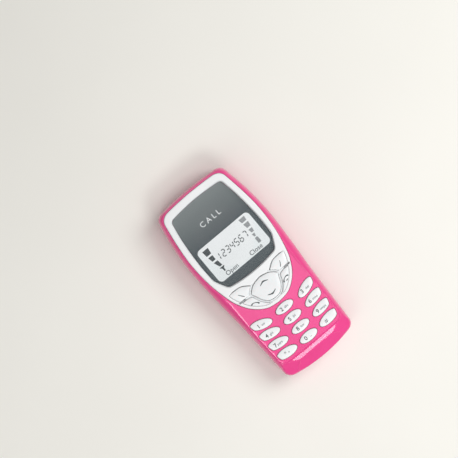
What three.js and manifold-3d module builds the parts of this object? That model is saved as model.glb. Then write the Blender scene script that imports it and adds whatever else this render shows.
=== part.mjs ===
// A toy cell phone: a moulded bar phone with sprung keys, a sound board, a speaker and button cells.
// Millimetres. The phone lies on its back: +X to its right, +Y to its earpiece end, +Z out of its face.
// The origin is at the middle of the back face.
import * as THREE from 'three';
import * as BufferGeometryUtils from 'three/addons/utils/BufferGeometryUtils.js';
import Module from 'manifold-3d';

const wasm = await Module();
wasm.setup();

// ---- Driving dimensions ----
const bodyLength = 109.2;
const bodyWidth = 50.6;
const bodyThickness = 20;
const wall = 1.7;
const gap = 0.3; // clearance between neighbouring pieces
const contact = 0.1; // clearance where one piece rests on another
const keyTravel = 0.8;

const W = bodyWidth / 2;
const L = bodyLength / 2;

// Heights, counted down from the navigation key, which stands highest.
const faceplateTop = bodyThickness - keyTravel;
const frontFace = faceplateTop - 0.6;
const lensTop = faceplateTop + 0.2;
const numberKeyTop = frontFace + keyTravel + 0.1;
const ceiling = frontFace - 1.6;
const recessFloor = ceiling + 0.05;
const panelUnderside = recessFloor - 1.6;
const seam = 0.465 * bodyThickness;

// ---- Outlines ----
const point = (x, y) => new THREE.Vector2(x, y);

/** Points of a quadratic bend from start to end, without its last point. */
function bend(start, control, end, steps) {
  const curve = new THREE.QuadraticBezierCurve(point(...start), point(...control), point(...end));
  return curve.getPoints(steps).slice(0, -1);
}

/** Points of a smooth curve through the places given, without its last point. */
function through(places, steps) {
  const curve = new THREE.SplineCurve(places.map((place) => point(...place)));
  return curve.getPoints(steps).slice(0, -1);
}

/** A closed outline from its right half, which runs down from the top centre to the bottom centre. */
function mirrored(half) {
  const offAxis = half.filter((place) => place.x > 0.001);
  return [...half, ...offAxis.map((place) => point(-place.x, place.y)).reverse()];
}

/** An outline moved outwards by a distance, or inwards where the distance is negative. */
function grown(outline, distance) {
  const turn = THREE.ShapeUtils.isClockWise(outline) ? -1 : 1;
  const sharpest = 0.5;
  return outline.map((here, i) => {
    const before = outline.at(i - 1);
    const after = outline[(i + 1) % outline.length];
    const inward = point(before.y - here.y, here.x - before.x).normalize();
    const outward = point(here.y - after.y, after.x - here.x).normalize();
    const bisector = inward.clone().add(outward).normalize();
    const reach = distance / Math.max(bisector.dot(inward), sharpest);
    return here.clone().addScaledVector(bisector, -turn * reach);
  });
}

/** An oval, turned by tilt radians and cut straight across at the outermost x. */
function oval(centre, halfLength, halfHeight, tilt, outermost, sides) {
  return Array.from({ length: sides }, (_, i) => {
    const angle = (2 * Math.PI * i) / sides;
    const along = halfLength * Math.cos(angle);
    const across = halfHeight * Math.sin(angle);
    const x = centre[0] + along * Math.cos(tilt) - across * Math.sin(tilt);
    const y = centre[1] + along * Math.sin(tilt) + across * Math.cos(tilt);
    return point(Math.sign(x) * Math.min(Math.abs(x), outermost), y);
  });
}

const bodyOutline = mirrored([
  ...bend([0, L], [0.4 * W, L], [0.69 * W, 0.983 * L], 2),
  ...bend([0.69 * W, 0.983 * L], [0.845 * W, 0.975 * L], [0.87 * W, 0.905 * L], 3),
  ...through([
    [0.87 * W, 0.905 * L],
    [0.96 * W, 0.65 * L],
    [W, 0.355 * L],
    [0.964 * W, -0.01 * L],
    [0.917 * W, -0.305 * L],
    [0.874 * W, -0.73 * L],
    [0.858 * W, -0.887 * L],
  ], 12),
  ...bend([0.858 * W, -0.887 * L], [0.85 * W, -0.957 * L], [0.66 * W, -0.972 * L], 3),
  ...bend([0.66 * W, -0.972 * L], [0.35 * W, -L], [0, -L], 2),
  point(0, -L),
]);

const faceplateOutline = mirrored([
  ...bend([0, 0.963 * L], [0.4 * W, 0.96 * L], [0.6 * W, 0.95 * L], 3),
  ...bend([0.6 * W, 0.95 * L], [0.76 * W, 0.935 * L], [0.785 * W, 0.87 * L], 3),
  ...through([
    [0.785 * W, 0.87 * L],
    [0.855 * W, 0.66 * L],
    [0.893 * W, 0.44 * L],
    [0.865 * W, 0.2 * L],
    [0.775 * W, -0.011 * L],
    [0.69 * W, -0.122 * L],
    [0.53 * W, -0.236 * L],
    [0.28 * W, -0.322 * L],
    [0, -0.346 * L],
  ], 16),
  point(0, -0.346 * L),
]);

const windowOutline = mirrored([
  ...bend([0, 0.894 * L], [0.35 * W, 0.89 * L], [0.56 * W, 0.877 * L], 3),
  ...bend([0.56 * W, 0.877 * L], [0.655 * W, 0.872 * L], [0.67 * W, 0.835 * L], 3),
  ...through([
    [0.67 * W, 0.835 * L],
    [0.735 * W, 0.65 * L],
    [0.775 * W, 0.4 * L],
    [0.755 * W, 0.19 * L],
    [0.69 * W, 0.115 * L],
  ], 8),
  ...bend([0.69 * W, 0.115 * L], [0.61 * W, 0.045 * L], [0.5 * W, 0.043 * L], 3),
  ...bend([0.5 * W, 0.043 * L], [0.28 * W, 0.02 * L], [0, 0.02 * L], 3),
  point(0, 0.02 * L),
]);

// The shield-shaped navigation key: a flat arch on top, and flanks that draw in to a rounded foot.
const navTip = [0.348 * W, -0.13 * L];
const navFoot = -0.293 * L;
const navKeyOutline = mirrored([
  ...through([[0, -0.057 * L], [0.2 * W, -0.077 * L], navTip], 4),
  ...through([
    navTip,
    [0.3 * W, -0.172 * L],
    [0.245 * W, -0.229 * L],
    [0.14 * W, -0.28 * L],
    [0, navFoot],
  ], 7),
  point(0, navFoot),
]);

// Where the right soft key and the right call key may lie.
// The faceplate's edge and the navigation key trim them.
const softKeyRegion = [
  point(0.21 * W, -0.075 * L),
  ...through([
    [0.28 * W, -0.056 * L],
    [0.36 * W, -0.031 * L],
    [0.455 * W, -0.011 * L],
    [0.66 * W, -0.007 * L],
  ], 6),
  point(0.66 * W, -0.007 * L),
  point(W, -0.01 * L),
  point(W, -0.118 * L),
  point(0.5 * W, -0.121 * L),
  point(0.21 * W, -0.14 * L),
];
const callKeyRegion = [
  point(0.12 * W, -0.172 * L),
  point(0.5 * W, -0.142 * L),
  point(W, -0.137 * L),
  point(W, -0.4 * L),
  point(0.12 * W, -0.4 * L),
];

// ---- Solids ----

/** The closed solid inside a three.js geometry. */
function solid(geometry) {
  geometry.deleteAttribute('normal');
  geometry.deleteAttribute('uv');
  const merged = BufferGeometryUtils.mergeVertices(geometry, 0.0001);
  return new wasm.Manifold(new wasm.Mesh({
    numProp: 3,
    vertProperties: new Float32Array(merged.attributes.position.array),
    triVerts: new Uint32Array(merged.index.array),
  }));
}

/** A flat plate of the outline given, between two heights. */
function plate(outline, low, high) {
  const depth = high - low;
  const geometry = new THREE.ExtrudeGeometry(new THREE.Shape(outline), { depth, bevelEnabled: false });
  return solid(geometry.translate(0, 0, low));
}

/** A block with its upper edge rounded off by `draw` inwards over `drop` downwards. */
function rounded(outline, low, high, draw, drop, segments = 2) {
  const spare = 1;
  const geometry = new THREE.ExtrudeGeometry(new THREE.Shape(outline), {
    depth: high - low - drop + spare,
    bevelSize: draw,
    bevelOffset: -draw,
    bevelThickness: drop,
    bevelSegments: segments,
  });
  geometry.translate(0, 0, low - spare);
  const below = box([-W - spare, W + spare], [-L - spare, L + spare], [low - drop - 2 * spare, low]);
  return solid(geometry).subtract(below);
}

/** A rectangular block from three ranges. */
function box(x, y, z) {
  const geometry = new THREE.BoxGeometry(x[1] - x[0], y[1] - y[0], z[1] - z[0]);
  return solid(geometry.translate((x[0] + x[1]) / 2, (y[0] + y[1]) / 2, (z[0] + z[1]) / 2));
}

/** An upright round bar. */
function bar(x, y, radius, low, high, sides = 12) {
  const geometry = new THREE.CylinderGeometry(radius, radius, high - low, sides);
  return solid(geometry.rotateX(Math.PI / 2).translate(x, y, (low + high) / 2));
}

/** A solid turned about the Z axis from [radius, height] pairs. */
function turned(profile, sides) {
  const geometry = new THREE.LatheGeometry(profile.map((place) => point(...place)), sides);
  return solid(geometry.rotateX(Math.PI / 2));
}

/** A round wire through the places given. */
function wire(places, radius, steps) {
  const extrudePath = new THREE.CatmullRomCurve3(places.map((place) => new THREE.Vector3(...place)));
  const circle = new THREE.Path().absarc(0, 0, radius, 0, 2 * Math.PI);
  const section = new THREE.Shape(circle.getPoints(4).slice(0, -1));
  return new THREE.ExtrudeGeometry(section, { steps, extrudePath });
}

const allOf = (solids) => solids.reduce((sum, one) => sum.add(one));

/** The three.js geometry of a solid. */
function geometryOf(manifold) {
  const mesh = manifold.getMesh();
  const geometry = new THREE.BufferGeometry();
  geometry.setAttribute('position', new THREE.BufferAttribute(mesh.vertProperties, 3));
  geometry.setIndex(new THREE.BufferAttribute(mesh.triVerts, 1));
  geometry.computeVertexNormals();
  return geometry;
}

// ---- Finishes: colour, roughness, metalness ----
const finishes = {
  pinkShell: [0xf03a84, 0.3, 0],
  silverWhite: [0xe8ebec, 0.32, 0],
  smokedClear: [0x5c666b, 0.08, 0],
  printedCard: [0x4e585c, 0.6, 0],
  keyWhite: [0xf2f4f4, 0.35, 0],
  silicone: [0xc9cdcf, 0.7, 0],
  boardGreen: [0x2c6b3f, 0.5, 0],
  blackResin: [0x17181a, 0.35, 0],
  steel: [0xb9bcc0, 0.35, 0.9],
  paperCone: [0x2a2a2c, 0.8, 0],
  redLead: [0xc42323, 0.5, 0],
  blackLead: [0x1c1c1e, 0.5, 0],
  tanResin: [0xcdb48c, 0.5, 0],
};

const group = new THREE.Group();
group.name = 'toy_cell_phone';

function add(name, shape, finish, position = [0, 0, 0]) {
  const [color, roughness, metalness] = finishes[finish];
  const geometry = shape.isBufferGeometry ? shape : geometryOf(shape);
  const mesh = new THREE.Mesh(geometry, new THREE.MeshStandardMaterial({ color, roughness, metalness }));
  mesh.name = name;
  mesh.position.set(...position);
  group.add(mesh);
}

// ---- Places shared between pieces ----
const caseScrewPlaces = [
  [-0.65 * W, 0.82 * L],
  [0.65 * W, 0.82 * L],
  [-0.62 * W, -0.87 * L],
  [0.62 * W, -0.87 * L],
];
const boardScrewPlaces = [[-0.285 * W, -0.49 * L], [0.285 * W, -0.49 * L]];
const caseScrew = { headRadius: 2.1, headHeight: 1.5, shaftRadius: 1, shaftLength: 8 };
const boardScrew = { headRadius: 1.5, headHeight: 1, shaftRadius: 0.75, shaftLength: 4.2 };
const doorScrew = { headRadius: 1.9, headHeight: 0.9, shaftRadius: 0.9, shaftLength: 6 };
const caseScrewSeat = 5.4;

const boardTop = 13.1;
const boardThickness = 1.3;
const matTop = boardTop + contact + 1;
const speakerPlace = [0, 0.707 * L];
const speakerRadius = 10.5;

const cellRadius = 5.8;
const cellThickness = 5.4;
const cellCount = 3;
const doorThickness = 1.8;
const doorSunk = 0.2;
const doorSeat = doorSunk + doorThickness + 0.2;
const cellRow = { y: 0.345 * L, z: doorSeat + 0.2 + cellRadius };
const bay = {
  x: [-12.2, 12.2],
  y: [cellRow.y - cellRadius - gap, cellRow.y + cellRadius + gap],
  roof: cellRow.z + cellRadius + 0.2,
  wall: 1,
};
const doorScrewPlace = [0, 0.145 * L];
const door = { x: [-13.4, 13.4], y: [0.075 * L, bay.y[1] + 1] };
const tab = { width: 1.6, z: [12.5, 13.2], y: 0.19 * L };
const contactPlate = 0.4;

// The number keys: four rows of three, the outer columns tilted upwards like a smile.
const keyRows = [
  { names: ['1', '2', '3'], y: [-0.417, -0.402], x: 0.587, tilt: 19, outermost: 0.79 },
  { names: ['4', '5', '6'], y: [-0.534, -0.519], x: 0.581, tilt: 12, outermost: 0.785 },
  { names: ['7', '8', '9'], y: [-0.65, -0.637], x: 0.572, tilt: 9, outermost: 0.767 },
  { names: ['star', '0', 'hash'], y: [-0.767, -0.755], x: 0.547, tilt: 6, outermost: 0.747 },
];
const midKey = { halfLength: 0.215 * W, halfHeight: 2.4 };
const sideKey = { halfLength: 0.247 * W, halfHeight: 2.45 };
const flange = 0.6;

/** A number key's outline, grown by a distance, about the phone's origin. */
function numberKeyOutline(row, column, grow) {
  const sides = 16;
  if (column === 1) {
    const size = [midKey.halfLength + grow, midKey.halfHeight + grow];
    return oval([0, row.y[0] * L], ...size, 0, W, sides);
  }
  const side = column - 1;
  const tilt = side * THREE.MathUtils.degToRad(row.tilt);
  const size = [sideKey.halfLength + grow, sideKey.halfHeight + grow];
  const outermost = row.outermost * W + Math.min(grow, 0.4);
  return oval([side * row.x * W, row.y[1] * L], ...size, tilt, outermost, sides);
}

const numberKeys = keyRows.flatMap((row) => row.names.map((name, column) => ({
  name: `key_${name}`,
  outline: (grow) => numberKeyOutline(row, column, grow),
  centre: column === 1 ? [0, row.y[0] * L] : [(column - 1) * row.x * W, row.y[1] * L],
})));

// The five keys of the faceplate. The rim keeps them off its edge, and webs keep them off each other.
const clusterRim = 1.6;
const webWidth = 0.6;
const clusterFlange = 0.45;

/** A soft key or call key of the right side between two heights, with its outline grown by a distance. */
function clusterKey(region, low, high, grow) {
  const held = plate(grown(faceplateOutline, grow - clusterRim), low, high);
  const navClearance = webWidth + 2 * gap - grow;
  return held
    .intersect(plate(grown(region, grow), low, high))
    .subtract(plate(grown(navKeyOutline, navClearance), low - 1, high + 1));
}

const softKey = (...size) => clusterKey(softKeyRegion, ...size);
const callKey = (...size) => clusterKey(callKeyRegion, ...size);
const opposite = (make) => (...size) => make(...size).mirror([1, 0, 0]);
const clusterKeys = [
  { name: 'soft_key_right', make: softKey, dome: [0.52 * W, -0.065 * L] },
  { name: 'soft_key_left', make: opposite(softKey), dome: [-0.52 * W, -0.065 * L] },
  { name: 'end_key', make: callKey, dome: [0.4 * W, -0.215 * L] },
  { name: 'call_key', make: opposite(callKey), dome: [-0.4 * W, -0.215 * L] },
  { name: 'nav_key', make: (low, high, grow) => plate(grown(navKeyOutline, grow), low, high) },
];
const navDomes = [[0, -0.105 * L], [0, -0.245 * L]];

// ---- Front cover ----

/** What lies above the slope of the chin, lowered by a distance. */
function chinCut(lowered) {
  const start = -0.842 * L;
  const slope = 0.58;
  const beyond = L * 0.3;
  const profile = new THREE.Shape([
    point(start, frontFace - lowered),
    point(start, frontFace + wall),
    point(start - beyond, frontFace + wall),
    point(start - beyond, frontFace - lowered - beyond * slope),
  ]);
  const geometry = new THREE.ExtrudeGeometry(profile, { depth: 2 * bodyWidth, bevelEnabled: false });
  geometry.translate(0, 0, -bodyWidth);
  const acrossBody = new THREE.Matrix4().makeBasis(
    new THREE.Vector3(0, 1, 0),
    new THREE.Vector3(0, 0, 1),
    new THREE.Vector3(1, 0, 0),
  );
  return solid(geometry.applyMatrix4(acrossBody));
}

const lip = { height: 1.2, thickness: 0.7 };
const shoulder = { draw: 1.7, drop: 3 };
const pilotClearance = 0.1;
const boardBossRadius = 1.5;

function frontCover() {
  const outer = rounded(bodyOutline, seam + gap, frontFace, shoulder.draw, shoulder.drop)
    .subtract(chinCut(0));
  const hollow = rounded(grown(bodyOutline, -wall), seam - 1, ceiling, shoulder.draw / 2, wall, 1)
    .subtract(chinCut(wall * 1.15));
  const panel = plate(grown(faceplateOutline, wall / 2), panelUnderside, recessFloor);
  const lipTop = seam + gap + lip.height;
  const caseBoss = ([x, y]) => bar(x, y, caseScrew.shaftRadius + wall, lipTop, ceiling);
  const boardBoss = ([x, y]) => bar(x, y, boardBossRadius, boardTop + contact, ceiling + contact, 8);
  const casePilot = ([x, y]) => {
    const radius = caseScrew.shaftRadius + pilotClearance;
    return bar(x, y, radius, seam, caseScrewSeat + caseScrew.shaftLength + 1);
  };
  const boardPilot = ([x, y]) => bar(x, y, boardScrew.shaftRadius + pilotClearance, boardTop, ceiling);
  const lipRelief = plate(grown(bodyOutline, gap - wall + lip.thickness), seam, lipTop);
  const holes = [
    plate(grown(faceplateOutline, gap / 2), recessFloor, bodyThickness),
    ...numberKeys.map((key) => plate(key.outline(gap), panelUnderside, bodyThickness)),
    ...clusterKeys.map((key) => key.make(panelUnderside - 1, frontFace, clusterFlange + gap)),
    ...caseScrewPlaces.map(casePilot),
    ...boardScrewPlaces.map(boardPilot),
  ];
  return outer
    .subtract(hollow)
    .add(panel.intersect(outer))
    .subtract(lipRelief)
    .add(allOf(caseScrewPlaces.map(caseBoss)).intersect(outer))
    .add(allOf(boardScrewPlaces.map(boardBoss)))
    .subtract(allOf(holes));
}

// ---- Rear cover ----

/** A contact's tab, which runs out through the bay's wall towards the circuit board. */
function contactTab(x, clearance) {
  const reach = tab.width / 2 + clearance;
  return box(
    [x - reach, x + reach],
    [tab.y - 4 * clearance, bay.y[0] + 1],
    [tab.z[0] - clearance, tab.z[1] + clearance],
  );
}

const tabPlaces = [bay.x[0] + gap + tab.width / 2, bay.x[1] - gap - tab.width / 2];

function speakerHoles() {
  const radius = 0.9;
  const rings = [{ count: 1, at: 0 }, { count: 6, at: 2.9 }, { count: 12, at: 5.8 }];
  return allOf(rings.flatMap((ring) => Array.from({ length: ring.count }, (_, i) => {
    const angle = (2 * Math.PI * i) / ring.count;
    const x = speakerPlace[0] + ring.at * Math.cos(angle);
    const y = speakerPlace[1] + ring.at * Math.sin(angle);
    return bar(x, y, radius, -1, wall + 1, 8);
  })));
}

function rearCover() {
  const upsideDown = (shape, height) => shape.rotate([180, 0, 0]).mirror([0, 1, 0]).translate([0, 0, height]);
  const outer = upsideDown(rounded(bodyOutline, 0, seam, 3, 3), seam);
  const hollow = upsideDown(rounded(grown(bodyOutline, -wall), -1, seam - wall, 1.6, 1.6, 1), seam);
  const lipRing = plate(grown(bodyOutline, lip.thickness - wall), wall + 2, seam + lip.height)
    .subtract(plate(grown(bodyOutline, -wall), wall, seam + lip.height + 1));
  const pad = box(
    [door.x[0] - wall, door.x[1] + wall],
    [door.y[0] - wall, door.y[1] + wall],
    [wall / 2, doorSeat + wall],
  );
  const bayBox = box(
    [bay.x[0] - bay.wall, bay.x[1] + bay.wall],
    [bay.y[0] - bay.wall, bay.y[1] + bay.wall],
    [doorSeat, bay.roof + bay.wall],
  );
  const caseBosses = allOf(caseScrewPlaces.map(([x, y]) => bar(x, y, 3.3, 1, seam - 0.1)));
  const speakerWall = bar(...speakerPlace, speakerRadius + 1.3, 1, 5, 24)
    .subtract(bar(...speakerPlace, speakerRadius + gap, wall, 6, 24));
  const doorBoss = bar(...doorScrewPlace, 2.6, doorSeat, doorSeat + 7);
  const cuts = [
    box([door.x[0] - gap, door.x[1] + gap], [door.y[0] - gap, door.y[1] + gap], [-1, doorSeat]),
    box(bay.x, bay.y, [-1, bay.roof]),
    ...tabPlaces.map((x) => contactTab(x, 0.25)),
    bar(...doorScrewPlace, doorScrew.shaftRadius + 0.15, 0, doorSeat + 6, 12),
    ...caseScrewPlaces.map(([x, y]) => bar(x, y, caseScrew.headRadius + 0.4, -1, caseScrewSeat)),
    ...caseScrewPlaces.map(([x, y]) => bar(x, y, caseScrew.shaftRadius + 0.3, 0, seam + 1, 12)),
    speakerHoles(),
  ];
  const inside = allOf([pad, caseBosses, speakerWall, doorBoss]).intersect(outer);
  return outer
    .subtract(hollow)
    .add(lipRing)
    .add(inside)
    .add(bayBox)
    .subtract(allOf(cuts));
}

// ---- Faceplate, window and picture ----
const grooveFloor = faceplateTop - 0.5;
const plateEdge = 0.4;

function faceplate() {
  const body = rounded(faceplateOutline, recessFloor + contact, faceplateTop, plateEdge, plateEdge, 1);
  const window = plate(grown(windowOutline, gap / 2), 0, bodyThickness);
  const keyHoles = clusterKeys.map((key) => key.make(0, bodyThickness, gap));
  const aboveNav = box([-0.205 * W, 0.205 * W], [-0.15 * L, 0], [grooveFloor, bodyThickness]);
  const navGroove = plate(grown(navKeyOutline, 2 * gap + webWidth), grooveFloor, bodyThickness)
    .subtract(aboveNav);
  return body.subtract(allOf([window, navGroove, ...keyHoles]));
}

const pictureTop = recessFloor + contact + 0.3;

// ---- Keys ----
function numberKey(key) {
  const flangeTop = ceiling - 0.2;
  const edge = 0.5;
  const cap = rounded(key.outline(0), flangeTop - edge, numberKeyTop, edge, edge, 1);
  const skirt = plate(key.outline(flange), flangeTop - flangeThickness, flangeTop);
  return cap.add(skirt);
}

const clusterFlangeTop = recessFloor + contact - 0.2;
const flangeThickness = 0.9;
const rockerClearance = 0.3; // the navigation key's flange lies lower, because it tilts

function clusterKeySolid(key) {
  const step = 0.3;
  const flangeTop = key.dome ? clusterFlangeTop : clusterFlangeTop - rockerClearance;
  return allOf([
    key.make(flangeTop - 0.5, bodyThickness - step, 0),
    key.make(bodyThickness - step - 0.1, bodyThickness, -step),
    key.make(flangeTop - flangeThickness, flangeTop, clusterFlange),
  ]);
}

// ---- Inside the case ----
function keypadMat() {
  const sheet = box([-0.75 * W, 0.75 * W], [-0.8 * L, 0.005 * L], [boardTop + contact, matTop]);
  const dome = ([x, y], top) => bar(x, y, 1.8, matTop - 0.5, top, 8);
  const domeTop = clusterFlangeTop - flangeThickness - contact;
  const domes = [
    ...numberKeys.map((key) => dome(key.centre, ceiling - 0.2 - flangeThickness - contact)),
    ...clusterKeys.filter((key) => key.dome).map((key) => dome(key.dome, domeTop)),
    ...navDomes.map((place) => dome(place, domeTop - rockerClearance)),
  ];
  const bossHoles = boardScrewPlaces.map(([x, y]) => bar(x, y, boardBossRadius + gap, 0, bodyThickness, 8));
  return sheet.add(allOf(domes)).subtract(allOf(bossHoles));
}

function circuitBoard() {
  const sheet = box([-0.76 * W, 0.76 * W], [-0.8 * L, 0.174 * L], [boardTop - boardThickness, boardTop]);
  const holeRadius = boardScrew.shaftRadius + 0.2;
  return sheet.subtract(allOf(boardScrewPlaces.map(([x, y]) => bar(x, y, holeRadius, 0, bodyThickness, 8))));
}

/** A pan-head screw with a cross slot, standing on its head's underside with the shaft upwards. */
function screw({ headRadius, headHeight, shaftRadius, shaftLength }) {
  const slot = headRadius * 0.65;
  const slotWidth = headRadius * 0.14;
  const depth = headHeight * 0.5;
  return turned([
    [0, -headHeight],
    [headRadius * 0.8, -headHeight],
    [headRadius, -headHeight * 0.75],
    [headRadius, 0],
    [shaftRadius, 0],
    [shaftRadius, shaftLength - 1],
    [0, shaftLength],
  ], 10)
    .subtract(box([-slot, slot], [-slotWidth, slotWidth], [-headHeight - 1, -headHeight + depth]))
    .subtract(box([-slotWidth, slotWidth], [-slot, slot], [-headHeight - 1, -headHeight + depth]));
}

/** One button cell standing on its wide pole. */
function buttonCell() {
  return turned([
    [0, 0],
    [cellRadius, 0],
    [cellRadius, cellThickness - 0.9],
    [cellRadius - 0.7, cellThickness - 0.4],
    [cellRadius - 1, cellThickness - 0.4],
    [cellRadius - 1, cellThickness],
    [0, cellThickness],
  ], 16);
}

/** A spring-steel plate at one end of the row of cells, with a strip and a tab. Side is -1 or 1. */
function contactPiece(side, tabX) {
  const outer = Math.abs(bay.x[0]) - contact;
  const plateX = [side * outer, side * (outer - contactPlate)].sort((a, b) => a - b);
  const face = box(plateX, [bay.y[0] + gap, bay.y[1] - gap], [doorSeat + gap, tab.z[1]]);
  const strip = box(
    [Math.min(plateX[0], tabX - tab.width / 2), Math.max(plateX[1], tabX + tab.width / 2)],
    [bay.y[0] + gap, bay.y[0] + 0.9],
    tab.z,
  );
  return allOf([face, strip, contactTab(tabX, 0)]);
}

/** The conical spring that presses the row of cells together. */
function contactSpring() {
  const turns = 3;
  const stepsPerTurn = 9;
  const wireRadius = 0.3;
  const start = bay.x[1] - contact - contactPlate - gap - wireRadius;
  const length = 4.8;
  const count = turns * stepsPerTurn;
  const places = Array.from({ length: count + 1 }, (_, i) => {
    const share = i / count;
    const angle = 2 * Math.PI * turns * share;
    const radius = THREE.MathUtils.lerp(4.4, 2.2, share);
    const y = cellRow.y + radius * Math.cos(angle);
    const z = cellRow.z + radius * Math.sin(angle);
    return [start - length * share, y, z];
  });
  return wire(places, wireRadius, count);
}

function speakerFrame() {
  return turned([
    [0, 4.4],
    [7.2, 4.4],
    [speakerRadius - 1, 3],
    [speakerRadius - 1, wall + contact],
    [speakerRadius, wall + contact],
    [speakerRadius, 3.4],
    [7.8, 5.2],
    [5.2, 5.6],
    [5.2, 7.4],
    [0, 7.4],
  ], 20);
}

function speakerCone() {
  return turned([
    [0, 2.6],
    [1.6, 2.9],
    [2.6, 3.4],
    [speakerRadius - 1.3, 2.2],
    [speakerRadius - 1.3, 2.5],
    [2.6, 3.7],
    [1.6, 3.2],
    [0, 2.9],
  ], 16);
}

function batteryDoor() {
  const low = doorSunk;
  const high = doorSunk + doorThickness;
  const recessDepth = doorScrew.headHeight + 0.3;
  const fingerGroove = box([-4, 4], [door.y[1] - 3.4, door.y[1] - 2.6], [low - 1, low + 0.5]);
  return box(door.x, door.y, [low, high])
    .subtract(bar(...doorScrewPlace, doorScrew.headRadius + 0.3, low - 1, low + recessDepth))
    .subtract(bar(...doorScrewPlace, doorScrew.shaftRadius + 0.2, low - 1, high + 1, 12))
    .subtract(fingerGroove);
}

// ---- Assembly ----
add('front_cover', frontCover(), 'pinkShell');
add('rear_cover', rearCover(), 'pinkShell');
add('faceplate', faceplate(), 'silverWhite');
const lens = rounded(windowOutline, pictureTop + contact, lensTop, plateEdge, plateEdge, 1);
const picture = plate(grown(windowOutline, -gap), recessFloor + contact, pictureTop);
add('screen_lens', lens, 'smokedClear');
add('display_card', picture, 'printedCard');

numberKeys.forEach((key) => add(key.name, numberKey(key), 'keyWhite'));
clusterKeys.forEach((key) => add(key.name, clusterKeySolid(key), 'keyWhite'));

add('keypad_mat', keypadMat(), 'silicone');
add('circuit_board', circuitBoard(), 'boardGreen');
const boardUnderside = boardTop - boardThickness - contact;
const resinDome = turned([[0, -1.6], [1.8, -1.4], [3.2, -0.7], [3.6, 0], [0, 0]], 16);
const resistor = box([-1.6, 1.6], [-0.6, 0.6], [-1.1, 0]);
const transistor = box([-2, 2], [-1.5, 1.5], [-2.6, 0]);
add('sound_chip', resinDome, 'blackResin', [0, -0.2 * L, boardUnderside]);
add('board_resistor', resistor, 'tanResin', [0.3 * W, -0.1 * L, boardUnderside]);
add('board_transistor', transistor, 'blackResin', [-0.35 * W, -0.08 * L, boardUnderside]);
boardScrewPlaces.forEach(([x, y], i) => {
  add(`board_screw_${i + 1}`, screw(boardScrew), 'steel', [x, y, boardUnderside]);
});

add('speaker_frame', speakerFrame(), 'steel', [...speakerPlace, 0]);
add('speaker_cone', speakerCone(), 'paperCone', [...speakerPlace, 0]);

const firstCell = bay.x[0] + 3 * contact + contactPlate;
for (let i = 0; i < cellCount; i += 1) {
  const cell = buttonCell().rotate([0, 90, 0]);
  const x = firstCell + i * (cellThickness + contact);
  add(`button_cell_${i + 1}`, cell, 'steel', [x, cellRow.y, cellRow.z]);
}
add('battery_contact_positive', contactPiece(-1, tabPlaces[0]), 'steel');
add('battery_contact_negative', contactPiece(1, tabPlaces[1]), 'steel');
add('battery_spring', contactSpring(), 'steel');
add('battery_door', batteryDoor(), 'pinkShell');
const doorScrewHeight = doorSunk + doorScrew.headHeight + 0.2;
add('battery_door_screw', screw(doorScrew), 'steel', [...doorScrewPlace, doorScrewHeight]);
caseScrewPlaces.forEach(([x, y], i) => {
  add(`case_screw_${i + 1}`, screw(caseScrew), 'steel', [x, y, caseScrewSeat - 0.1]);
});

// Leads: short loops from the battery tabs to the board, and a pair from the speaker past the battery bay.
const leadRadius = 0.4;
const leadEnd = boardTop + leadRadius + contact;
tabPlaces.forEach((x, i) => {
  const route = [
    [x, tab.y + 0.7, tab.z[1] + leadRadius + contact],
    [x, tab.y - 0.6, tab.z[1] + leadRadius + 0.5],
    [x, tab.y - 2, leadEnd + 0.4],
    [x, tab.y - 3.6, leadEnd],
  ];
  const colour = ['red', 'black'][i];
  add(`battery_lead_${colour}`, wire(route, leadRadius, 8), `${colour}Lead`);
});
['red', 'black'].forEach((colour, i) => {
  const apart = 1.6 * i;
  const route = [
    [4.6 + 1.2 * apart, speakerPlace[1] - 6.3 + 1.2 * apart, 5.9],
    [9.5 + apart, speakerPlace[1] - 9.2 + 1.1 * apart, 7.4],
    [13.2 + apart, 0.5 * L + 0.7 * apart, 8.4],
    [14.2 + apart, 0.44 * L, 9.5],
    [14.8 + apart, 0.3 * L, 12.4],
    [14.6 + apart, 0.19 * L, 14.4],
    [14.2 + apart, 0.12 * L, leadEnd],
  ];
  add(`speaker_lead_${colour}`, wire(route, leadRadius, 12), `${colour}Lead`);
});

export default group;
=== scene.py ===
"""A toy cell phone lying on its back on a pale surface, seen from straight above."""
import math

import bmesh
import bpy
import numpy as np
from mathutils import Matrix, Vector
from mathutils.geometry import delaunay_2d_cdt


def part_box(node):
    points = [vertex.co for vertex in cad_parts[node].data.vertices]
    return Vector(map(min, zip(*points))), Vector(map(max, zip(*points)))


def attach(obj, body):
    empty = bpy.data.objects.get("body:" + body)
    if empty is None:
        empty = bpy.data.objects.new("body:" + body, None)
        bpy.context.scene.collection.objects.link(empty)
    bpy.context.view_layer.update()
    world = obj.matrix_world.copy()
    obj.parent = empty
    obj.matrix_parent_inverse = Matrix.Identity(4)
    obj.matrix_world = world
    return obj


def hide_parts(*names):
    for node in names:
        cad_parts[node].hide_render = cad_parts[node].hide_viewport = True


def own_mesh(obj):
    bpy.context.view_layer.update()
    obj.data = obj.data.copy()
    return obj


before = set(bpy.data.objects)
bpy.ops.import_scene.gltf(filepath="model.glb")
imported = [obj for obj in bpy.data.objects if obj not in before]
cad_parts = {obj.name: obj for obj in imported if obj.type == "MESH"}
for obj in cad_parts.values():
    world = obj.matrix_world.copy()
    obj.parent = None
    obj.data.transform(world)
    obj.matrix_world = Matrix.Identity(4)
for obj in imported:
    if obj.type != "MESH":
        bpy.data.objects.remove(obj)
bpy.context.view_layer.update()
mm = 0.001


def box(node):
    """A CAD node's lowest and highest corners, in millimetres."""
    low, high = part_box(node)
    return low / mm, high / mm


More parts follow.
